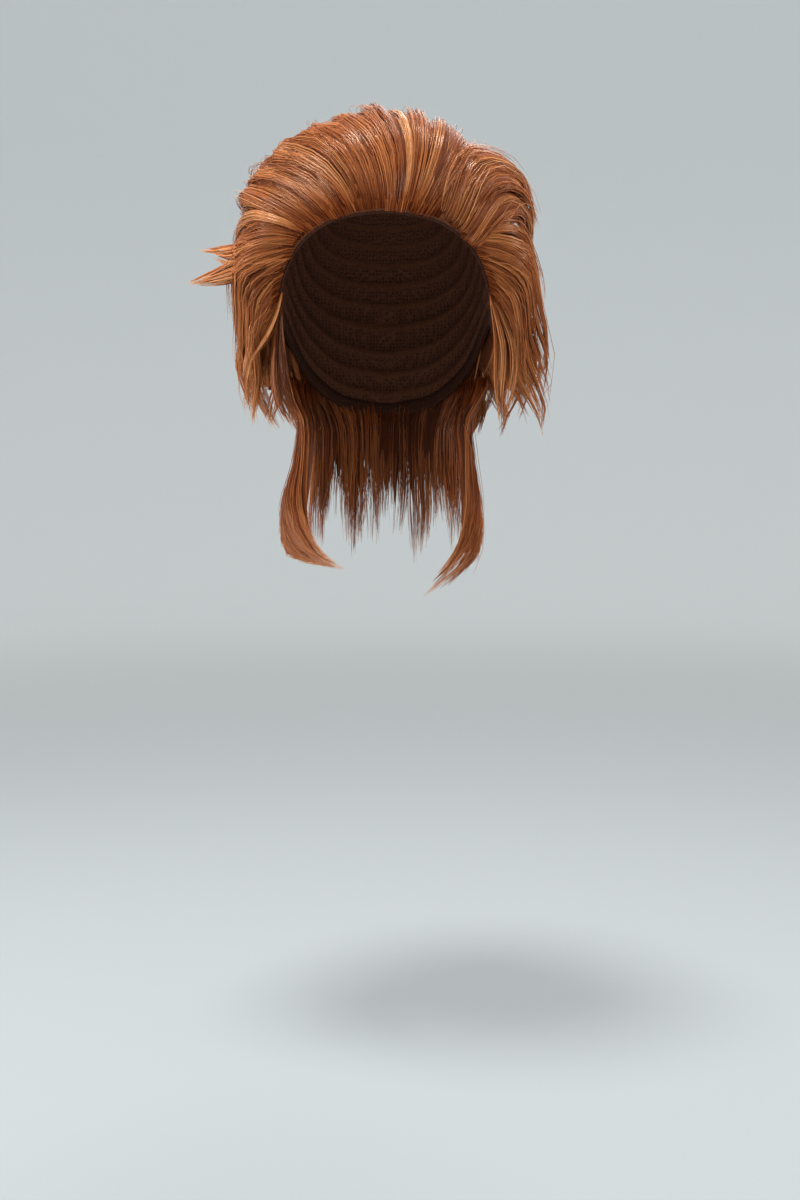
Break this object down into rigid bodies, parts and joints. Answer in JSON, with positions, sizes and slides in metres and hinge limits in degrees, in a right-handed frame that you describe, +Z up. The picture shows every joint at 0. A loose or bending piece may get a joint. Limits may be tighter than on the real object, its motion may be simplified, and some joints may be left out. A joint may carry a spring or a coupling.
{
  "type": "mullet wig",
  "caption": "Mullet wig of straight synthetic hair swept back off the brow, with layered sides to the jaw and long tails down the neck, on an open cap.",
  "frame": {"origin": "top of the head, on the cap's inner face, where the wig sits", "axes": "+Z up, the brow and the cap's open front face -Y, +X towards the wearer's left"},
  "size_m": [0.2562, 0.1963, 0.334],
  "materials": {
    "hair": "copper synthetic fibre, soft sheen",
    "cap_net": "matt knitted net",
    "edge_tape": "matt woven tape"
  },
  "bodies": {
    "root": {"top_hair": "hair", "curl_lock": "hair", "flick_upper": "hair", "flick_lower": "hair", "side_hair_right": "hair", "side_hair_left": "hair", "back_hair": "hair", "long_hair": "hair", "tail_right": "hair", "tail_left": "hair", "cap": "cap_net", "edge_band": "edge_tape"}
  },
  "joints": []
}
